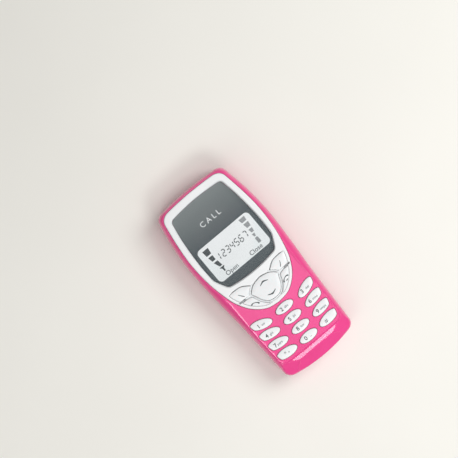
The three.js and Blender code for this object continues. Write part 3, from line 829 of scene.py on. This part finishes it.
def cluster_tray(holes):
    """The sunk tray that the upper keys share: their holes, and the webs beside the navigation key."""
    spare = 0.03
    nav_part = grown(nav_edge, web + 2 * gap - key_gap)
    above = at_shares((-0.205, 0), (0.205, 0), (0.205, -0.1), (-0.205, -0.1))
    lower_nav = common([nav_part], [above])
    between = clockwise(at_shares((0.3, -0.125), (0.66, -0.12), (0.65, -0.136), (0.3, -0.145)))
    return united([*[grown(hole, spare) for hole in holes.values()], lower_nav, between, flipped(between)])


finish_piece(faceplate(), None, "case", "silver_white_plastic", "faceplate")


# ---- Window and picture ----
def window_lens():
    skin = Skin()
    bottom, top = lens_low.z, lens_high.z
    round_edge = 0.35
    skin.face(window_edge, bottom)
    skin.walls((window_edge, bottom), *outer_fillet(window_edge, top, round_edge))
    skin.face(grown(window_edge, -round_edge), top, spacing=2.0)
    return skin.build("window_lens")


def sheet(outline, low, high, name):
    skin = Skin()
    skin.face(outline, low)
    skin.walls((outline, low), (outline, high))
    skin.face(outline, high, spacing=2.0)
    return skin.build(name)


finish_piece(window_lens(), clear, "case", "clear_window", "screen_lens")
card = sheet(grown(window_edge, -0.3), card_low.z, card_high.z, "window_card")
finish_piece(card, card_print_and_painted_reflection, "case", "printed_card", "display_card")

panel_box = ((-0.67 * W, 0.128 * L), (0.66 * W, 0.494 * L))
panel_outline = evened(round_box(*panel_box, 2.3), 0.6)
panel_top = card_high.z + 0.03
panel_sheet = sheet(panel_outline, card_high.z + 0.005, panel_top, "screen_panel")
finish_piece(panel_sheet, panel_white, "case", "printed_card")


# ---- Print: flat shapes a hair above what they are printed on ----
print_thickness = 0.03


def stamped(name, shapes, height):
    """A closed thin mesh of flat shapes, lying at height(x, y)."""
    skin = Skin()
    for shape in map(clockwise, shapes):
        skin.face(shape, height)
        skin.walls((shape, height), (shape, lambda x, y: height(x, y) + print_thickness))
        skin.face(shape, lambda x, y: height(x, y) + print_thickness)
    return skin.build(name, crowned_face=False)


def lettering(text, centre, size, height, name, weight=0.0, spacing=1.0):
    """A thin closed mesh of text, centred on a place and lying at height(x, y)."""
    curve = bpy.data.curves.new(name, "FONT")
    curve.body = text
    curve.size = size * mm
    curve.align_x = "CENTER"
    curve.align_y = "CENTER"
    curve.offset = weight * mm
    curve.space_character = spacing
    curve.resolution_u = 3
    curve.extrude = print_thickness / 2 * mm
    holder = new_object(name, curve)
    bpy.context.view_layer.update()
    mesh = bpy.data.meshes.new_from_object(holder)
    bpy.data.objects.remove(holder)
    work = bmesh.new()
    work.from_mesh(mesh)
    bmesh.ops.remove_doubles(work, verts=work.verts, dist=0.001 * mm)
    bmesh.ops.triangulate(work, faces=work.faces)
    long_edges = [e for e in work.edges if e.calc_length() > 0.5 * mm]
    bmesh.ops.subdivide_edges(work, edges=long_edges, cuts=2)
    for v in work.verts:
        x, y = v.co.x / mm + centre[0], v.co.y / mm + centre[1]
        v.co = Vector((x, y, height(x, y) + 0.002 + print_thickness / 2 + v.co.z / mm)) * mm
    bmesh.ops.triangulate(work, faces=work.faces)
    work.to_mesh(mesh)
    work.free()
    obj = new_object(name, mesh)
    return obj


def joined(name, objects):
    """One object from several, which are removed."""
    work = bmesh.new()
    for obj in objects:
        work.from_mesh(obj.data)
        bpy.data.objects.remove(obj)
    mesh = bpy.data.meshes.new(name)
    work.to_mesh(mesh)
    work.free()
    obj = new_object(name, mesh)
    return obj


def on_panel(x, y):
    return crowned(x, panel_top)


def on_card(x, y):
    return crowned(x, card_high.z)


def seven_segments(digit, left, base, width, height, lean):
    """The lit bars of one digit, as slanted shapes."""
    thick = 0.5
    half = height / 2
    bars = {
        "top": ((0.12, height), (width - 0.12, height)),
        "middle": ((0.12, half), (width - 0.12, half)),
        "bottom": ((0.12, 0), (width - 0.12, 0)),
        "upper_left": ((0, half + 0.14), (0, height - 0.14)),
        "lower_left": ((0, 0.14), (0, half - 0.14)),
        "upper_right": ((width, half + 0.14), (width, height - 0.14)),
        "lower_right": ((width, 0.14), (width, half - 0.14)),
    }
    lit = {
        "1": ["upper_right", "lower_right"],
        "2": ["top", "upper_right", "middle", "lower_left", "bottom"],
        "3": ["top", "upper_right", "middle", "lower_right", "bottom"],
        "4": ["upper_left", "upper_right", "middle", "lower_right"],
        "5": ["top", "upper_left", "middle", "lower_right", "bottom"],
        "6": ["top", "upper_left", "middle", "lower_left", "lower_right", "bottom"],
        "7": ["top", "upper_right", "lower_right"],
    }[digit]
    shapes = []
    for bar in lit:
        (x0, y0), (x1, y1) = bars[bar]
        if y0 == y1:
            shape = [(x0, y0), (x0 + thick / 2, y0 + thick / 2), (x1 - thick / 2, y0 + thick / 2), (x1, y0),
                     (x1 - thick / 2, y0 - thick / 2), (x0 + thick / 2, y0 - thick / 2)]
        else:
            shape = [(x0, y0), (x0 - thick / 2, y0 + thick / 2), (x0 - thick / 2, y1 - thick / 2), (x0, y1),
                     (x0 + thick / 2, y1 - thick / 2), (x0 + thick / 2, y0 + thick / 2)]
        shapes.append([(left + x + lean * y, base + y) for x, y in shape])
    return shapes


def in_panel(x, y):
    """A place on the panel, given as shares of its width and height."""
    (left, low), (right, high) = panel_box
    return left + (right - left) * x, low + (high - low) * y


def level_bar(high, low, left, right, narrowing=(0, 0)):
    """A level bar in shares of the panel. Its ends lean inwards by narrowing at its foot."""
    corners = [(left, high), (right, high), (right - narrowing[1], low), (left + narrowing[0], low)]
    return [in_panel(*corner) for corner in corners]


def screen_picture():
    """A screen's printed picture: a number, level bars on both sides, an aerial, a cell and two words."""
    dark = []
    digit_width, digit_height, pitch, lean = 1.75, 3.5, 2.86, 0.16
    first_left, digits_base = in_panel(0.21, 0.466)
    for i, digit in enumerate("1234567"):
        left = first_left + pitch * i - (0.65 if digit == "1" else 0)
        dark += seven_segments(digit, left, digits_base, digit_width, digit_height, lean)
    dark += [
        level_bar(0.911, 0.746, 0.082, 0.192, (0.009, 0.015)),
        level_bar(0.696, 0.561, 0.094, 0.174, (0.017, 0)),
        level_bar(0.511, 0.346, 0.111, 0.183, (0.039, -0.015)),
    ]
    aerial = [(0.126, 0.316), (0.218, 0.316), (0.207, 0.286), (0.189, 0.266), (0.186, 0.181), (0.162, 0.181),
              (0.159, 0.266)]
    dark.append([in_panel(*place) for place in aerial])
    words = [
        lettering("Open", in_panel(0.266, 0.088), 3.4, on_panel, "word_left", weight=0.012),
        lettering("Close", in_panel(0.733, 0.088), 3.4, on_panel, "word_right", weight=0.025),
    ]
    pieces = [stamped("segments", dark, on_panel), *words]
    finish_piece(joined("screen_print_dark", pieces), panel_dark, "case", "printed_card")
    grey = [
        level_bar(0.946, 0.826, 0.81, 0.92, (0.015, 0.009)),
        level_bar(0.781, 0.651, 0.825, 0.917, (0.015, 0.009)),
        level_bar(0.596, 0.491, 0.834, 0.902, (0.015, 0.009)),
        level_bar(0.451, 0.366, 0.828, 0.878, (0.015, 0.009)),
    ]
    cell = [(0.828, 0.311), (0.84, 0.336), (0.869, 0.336), (0.881, 0.311), (0.881, 0.171), (0.828, 0.171)]
    grey.append([in_panel(*place) for place in cell])
    finish_piece(stamped("screen_print_grey", grey, on_panel), panel_grey, "case", "printed_card")
    title = lettering("CALL", (0, 0.654 * L), 4.1, on_card, "window_word", spacing=1.5)
    finish_piece(title, panel_white, "case", "printed_card")


screen_picture()


# ---- Keys ----
def key_cap(name, outline, top, flange_top, flange_reach, dome_rise=0.25, round_edge=0.4):
    """A key with a flange under the cover, a rounded edge and a domed top. Returns it and its height."""
    skin = Skin()
    flange = grown(outline, flange_reach)
    flange_foot = flange_top - 0.6
    edge_top = top - dome_rise
    inner = grown(outline, -round_edge)
    fillet = outer_fillet(outline, edge_top, round_edge, 5)
    reach = 2.0

    def domed(x, y):
        inside = min(distance_inside(x, y, inner) / reach, 1)
        return edge_top + dome_rise * (1 - (1 - inside) ** 2)

    skin.face(flange, flange_foot)
    skin.walls((flange, flange_foot), (flange, flange_top), (outline, flange_top), *fillet)
    skin.face(fillet[-1][0], domed, spacing=0.6)
    return skin.build(name), lambda x, y: crowned(x, domed(x, y))


def bow(centre, rise):
    """A brush mark that bows up, or down where rise is negative."""
    x, y = centre
    route = ((-2.4, 0), (-1.2, 0.62), (0, 1), (1.2, 0.62), (2.4, 0))
    places = [(x + across, y + share * rise) for across, share in route]
    return stroke(places, [0.35, 0.55, 0.8, 0.55, 0.35])


def handset(centre, side):
    """A small telephone receiver: thick at its ends and thin at its grip."""
    places = [(-1.85, 0.35), (-1.2, 0.62), (-0.2, 0.5), (0.8, 0.05), (1.35, -0.4), (1.75, -1.0)]
    placed = [(centre[0] + side * x, centre[1] + y) for x, y in places]
    return stroke(placed, [0.75, 0.6, 0.38, 0.38, 0.5, 0.85])


cluster_legends = {
    "nav_key": [bow((0, -6.7), 0.85), bow((0, -12.7), -0.85)],
    "soft_key_left": [stroke([(-14.1, -3.1), (-13.1, -4.4), (-12.1, -5.6)], [0.25, 0.42, 0.4])],
    "soft_key_right": [stroke([(13.3, -3.1), (12.6, -4.5), (11.7, -5.7)], [0.25, 0.38, 0.35])],
    "call_key": [handset((-10.3, -11.8), 1)],
    "end_key": [
        handset((9.9, -11.8), -1),
        stroke([(9.4, -13.2), (10.0, -13.0), (10.6, -12.8)], [0.3, 0.5, 0.3]),
    ],
}

cluster_flange_top = plate_low.z - 0.2
for name, edge in cluster_edges.items():
    drop = gap if name == "nav_key" else 0
    cap, height = key_cap(name + "_cap", edge, nav_high.z - 0.05, cluster_flange_top - drop, 0.4)
    finish_piece(cap, key_white, name, "key_white", name)
    on_the_key = grown(edge, -0.15)
    shapes = [common([shape, on_the_key]) for shape in cluster_legends[name]]
    marks = stamped(name + "_mark", shapes, height)
    finish_piece(marks, legend_grey, name, "key_white")

letters = {
    "key_1": ("1", "oo"),
    "key_2": ("2", "abc"),
    "key_3": ("3", "def"),
    "key_4": ("4", "ghi"),
    "key_5": ("5", "jkl"),
    "key_6": ("6", "mno"),
    "key_7": ("7", "pqrs"),
    "key_8": ("8", "tuv"),
    "key_9": ("9", "wxyz"),
    "key_star": ("*", "+"),
    "key_0": ("0", "_"),
    "key_hash": ("#", ""),
}
digit_shift = {-1: (-1.55, -0.1), 0: (-1.85, -0.1), 1: (-2.9, -0.5)}
letter_shift = {-1: (1.05, -0.45), 0: (1.0, -0.1), 1: (0.4, -0.5)}
lone_sign_shift = 0.8  # the star and the hash sit nearer to their keys' middles
key_top = box("key_5")[1].z
for name, edge in number_edges.items():
    cap, height = key_cap(name + "_cap", edge, key_top, ceiling - 0.2, 0.35)
    finish_piece(cap, key_white, name, "key_white", name)
    x, y = number_centres[name]
    column = round(x / (0.5 * W))
    sign, small = letters[name]
    inwards = lone_sign_shift if sign in "#*" else 0
    place = (x + digit_shift[column][0] + inwards, y + digit_shift[column][1])
    digit = lettering(sign, place, 3.0, height, name + "_digit", weight=0.0 if sign in "#*" else 0.05)
    finish_piece(digit, legend_grey, name, "key_white")
    if small:
        place = (x + letter_shift[column][0], y + letter_shift[column][1])
        text = lettering(small, place, 1.8, height, name + "_letters", weight=0.03)
        finish_piece(text, small_legend_grey, name, "key_white")


# ---- Rear cover and battery door ----
screw_places = []
for i in range(1, 5):
    low, high = box(f"case_screw_{i}")
    screw_places.append(((low.x + high.x) / 2, (low.y + high.y) / 2))
screw_seat = box("case_screw_1")[0].z + 1.6
speaker_low, speaker_high = box("speaker_frame")
speaker_place = ((speaker_low.x + speaker_high.x) / 2, (speaker_low.y + speaker_high.y) / 2)
door_screw_low, door_screw_high = box("battery_door_screw")
door_screw_place = (0.0, (door_screw_low.y + door_screw_high.y) / 2)
cell_low, cell_high = box("button_cell_1")


def speaker_holes():
    places = [speaker_place]
    x, y = speaker_place
    for count, ring in ((6, 2.9), (12, 5.8)):
        for i in range(count):
            angle = 2 * math.pi * i / count
            places.append((x + ring * math.cos(angle), y + ring * math.sin(angle)))
    return [disc(place, 0.9, 20) for place in places]


def rear_cover():
    skin = Skin()
    back_edge = 3.0
    edge = 0.25
    steps = 7
    levels = []
    for i in range(steps + 1):
        a = math.pi / 2 * i / steps
        levels.append((grown(body, -back_edge * (1 - math.sin(a))), back_edge * (1 - math.cos(a))))
    levels += [
        (body, seam_bottom - edge),
        (grown(body, -edge * 0.3), seam_bottom - edge * 0.3),
        (grown(body, -edge), seam_bottom),
        (grown(body, lip[0] - wall), seam_bottom),
        (grown(body, lip[0] - wall), seam_bottom + lip[1]),
        (grown(body, -wall), seam_bottom + lip[1]),
        (grown(body, -wall), 4.2),
        (grown(body, -wall - 1.6), wall),
    ]
    skin.walls(*levels)

    door_hole = evened(round_box(
        (door_low.x - gap, door_low.y - gap), (door_high.x + gap, door_high.y + gap), 1.4), 0.8)
    bay = round_box((-12.2, cell_low.y - gap), (12.2, cell_high.y + gap), 0.5)
    bay_roof = cell_high.z + 0.2
    bay_outside = round_box((-13.2, cell_low.y - gap - 1), (13.2, cell_high.y + gap + 1), 0.8)
    seat = door_high.z + 0.2
    pad = round_box((door_low.x - 1.6, door_low.y - 1.6), (door_high.x + 1.6, door_high.y + 1.6), 1.6)
    pad_top = seat + 1.3
    grille = speaker_holes()
    counterbores = [disc(place, 2.5) for place in screw_places]
    clearances = [disc(place, 1.3) for place in screw_places]
    bosses = [disc(place, 3.3) for place in screw_places]
    door_thread = disc(door_screw_place, 1.05, 20)
    door_boss = disc(door_screw_place, 2.6)

    rim = 0.2
    flat = grown(body, -back_edge)
    skin.face(flat, 0, [grown(h, rim) for h in [door_hole, *counterbores, *grille]])
    turns = (0, 0.52, 1.05, math.pi / 2)
    holes = [(door_hole, seat), *[(c, screw_seat) for c in counterbores], *[(g, wall) for g in grille]]
    for hole, foot in holes:
        rings = [(grown(hole, rim * (1 - math.sin(a))), rim * (1 - math.cos(a))) for a in turns]
        skin.walls(*rings, (hole, foot))
    skin.face(door_hole, seat, [bay, door_thread])
    skin.walls((bay, seat), (bay, bay_roof))
    skin.face(bay, bay_roof)
    skin.walls((door_thread, seat), (door_thread, seat + 6))
    skin.face(door_thread, seat + 6)
    skin.face(grown(body, -wall - 1.6), wall, [pad, *bosses, *grille])
    skin.walls((pad, wall), (pad, pad_top))
    skin.face(pad, pad_top, [bay_outside, door_boss])
    skin.walls((bay_outside, pad_top), (bay_outside, bay_roof + 1))
    skin.face(bay_outside, bay_roof + 1)
    skin.walls((door_boss, pad_top), (door_boss, seat + 7))
    skin.face(door_boss, seat + 7)
    for counterbore, clearance, boss in zip(counterbores, clearances, bosses):
        skin.face(counterbore, screw_seat, [clearance])
        skin.walls((clearance, screw_seat), (clearance, seam_bottom - 0.1))
        skin.face(boss, seam_bottom - 0.1, [clearance])
        skin.walls((boss, seam_bottom - 0.1), (boss, wall))
    return skin.build("rear_shell", crowned_face=False)


def battery_door():
    skin = Skin()
    low, high = door_low.z, door_high.z
    outline = evened(round_box((door_low.x, door_low.y), (door_high.x, door_high.y), 1.2), 0.8)
    recess = disc(door_screw_place, 2.2)
    thread = disc(door_screw_place, 1.1, 20)
    recess_roof = low + 1.2
    edge = 0.25
    grips = [
        round_box((-5, door_high.y - 3 - i * 1.3), (5, door_high.y - 2.4 - i * 1.3), 0.25)
        for i in range(4)
    ]
    skin.face(outline, high, [thread])
    skin.walls((outline, high), (outline, low + edge), (grown(outline, -edge * 0.3), low + edge * 0.3),
               (grown(outline, -edge), low))
    skin.face(grown(outline, -edge), low, [recess, *grips])
    skin.walls((recess, low), (recess, recess_roof))
    skin.face(recess, recess_roof, [thread])
    skin.walls((thread, recess_roof), (thread, high))
    for grip in grips:
        skin.walls((grip, low), (grown(grip, -0.12), low + 0.5))
        skin.face(grown(grip, -0.12), low + 0.5)
    return skin.build("back_door", crowned_face=False)


finish_piece(rear_cover(), pink, "case", "pink_shell", "rear_cover")
finish_piece(battery_door(), pink, "battery_door", "pink_shell", "battery_door")


# ---- Keypad mat: a sheet with a dome under each key ----
def keypad_mat():
    sheet_top = mat_low.z + 1
    bosses = []
    for i in (1, 2):
        low, high = box(f"board_screw_{i}")
        bosses.append(disc(((low.x + high.x) / 2, (low.y + high.y) / 2), 1.8, 20))
    outline = evened(round_box((mat_low.x, mat_low.y), (mat_high.x, mat_high.y), 1.0), 1.5)
    skin = Skin()
    skin.face(outline, mat_low.z, bosses)
    skin.walls((outline, mat_low.z), (outline, sheet_top))
    skin.face(outline, sheet_top, bosses)
    for boss in bosses:
        skin.walls((boss, mat_low.z), (boss, sheet_top))
    finish_piece(skin.build("keypad_sheet", crowned_face=False), silicone, "case", "silicone", "keypad_mat")
    domes = [(name, place, ceiling - 1.45) for name, place in number_centres.items()]
    domes += [
        ("soft_key_right", (0.52 * W, -0.065 * L), cluster_flange_top - 1.1),
        ("soft_key_left", (-0.52 * W, -0.065 * L), cluster_flange_top - 1.1),
        ("end_key", (0.4 * W, -0.215 * L), cluster_flange_top - 1.1),
        ("call_key", (-0.4 * W, -0.215 * L), cluster_flange_top - 1.1),
        ("nav_key", (0, -0.105 * L), cluster_flange_top - 1.1 - gap),
        ("nav_key", (0, -0.245 * L), cluster_flange_top - 1.1 - gap),
    ]
    for i, (name, place, top) in enumerate(domes):
        dome = Skin()
        foot = sheet_top + 0.01
        levels = ((2.0, foot), (1.6, top - 0.3), (1.3, top))
        rings = [(disc(place, radius, 24), height) for radius, height in levels]
        dome.face(*rings[0])
        dome.walls(*rings)
        dome.face(*rings[-1])
        piece = dome.build(f"keypad_dome_{i + 1}", crowned_face=False)
        finish_piece(piece, silicone, "case", "silicone")
        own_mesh(piece)


keypad_mat()

# ---- Finishes of the CAD parts that stay as they are ----
node_looks = {
    "circuit_board": board_green,
    "sound_chip": black_resin,
    "board_transistor": black_resin,
    "board_resistor": tan_resin,
    "speaker_cone": speaker_paper,
    "battery_lead_red": red_lead,
    "speaker_lead_red": red_lead,
    "battery_lead_black": black_lead,
    "speaker_lead_black": black_lead,
}
for name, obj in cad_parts.items():
    if not obj.hide_render:
        obj.data.materials.clear()
        obj.data.materials.append(node_looks.get(name, steel))


# ---- Surface, light and camera ----
def floor():
    made, tree, shader = material("pale_surface")
    tone = spread(tree, object_noise(tree, 8, 3), 0, 1)
    colour = two_tones(tree, tone, (0.84, 0.825, 0.77), (0.87, 0.855, 0.80))
    tree.links.new(colour, shader.inputs["Base Color"])
    shader.inputs["Roughness"].default_value = 0.7
    mesh = bpy.data.meshes.new("pale_floor")
    size = 1.5
    corners = [(-size, -size, 0), (size, -size, 0), (size, size, 0), (-size, size, 0)]
    mesh.from_pydata(corners, [], [(0, 1, 2, 3)])
    obj = new_object("pale_floor", mesh)
    mesh.materials.append(made)


def area_light(name, place, size, power, aim=(0, 0, 0.01)):
    light = bpy.data.lights.new(name, "AREA")
    light.shape = "RECTANGLE"
    light.size, light.size_y = size
    light.energy = power
    obj = new_object(name, light)
    obj.location = place
    obj.rotation_euler = (Vector(aim) - Vector(place)).to_track_quat("-Z", "Y").to_euler()


def surroundings():
    world = bpy.data.worlds.new("soft_white")
    bpy.context.scene.world = world
    world.use_nodes = True
    world.node_tree.nodes["Background"].inputs["Color"].default_value = (1, 0.995, 0.985, 1)
    world.node_tree.nodes["Background"].inputs["Strength"].default_value = 0.31
    area_light("right_light", (0.37, -0.04, 0.5), (0.32, 0.34), 1.9)
    area_light("foot_light", (0.0, -0.385, 0.55), (0.28, 0.16), 1.1)
    area_light("left_light", (-0.37, -0.18, 0.5), (0.3, 0.5), 0.75)
    area_light("overhead_light", (0.16, -0.02, 1.2), (0.25, 0.6), 0.6)
    bpy.context.scene.view_settings.view_transform = "Standard"
    bpy.context.scene.view_settings.look = "None"


def camera():
    """Straight above, turned so that the phone leans 40 degrees to the left and lies right of centre."""
    turn = math.radians(40)
    picture_width = 232.2 * mm  # what the picture spans at the height of the face
    distance = 1000 * mm
    data = bpy.data.cameras.new("camera")
    data.sensor_width = 36
    data.lens = data.sensor_width * distance / picture_width
    data.clip_start = 0.05
    data.clip_end = 10
    obj = new_object("camera", data)
    right_of_phone = -13.45 * mm
    above_phone = 22.1 * mm
    right = Vector((math.cos(turn), -math.sin(turn), 0))
    up = Vector((math.sin(turn), math.cos(turn), 0))
    obj.location = right * right_of_phone + up * above_phone + Vector((0, 0, front * mm + distance))
    obj.rotation_euler = (0, 0, -turn)
    bpy.context.scene.camera = obj


floor()
surroundings()
camera()
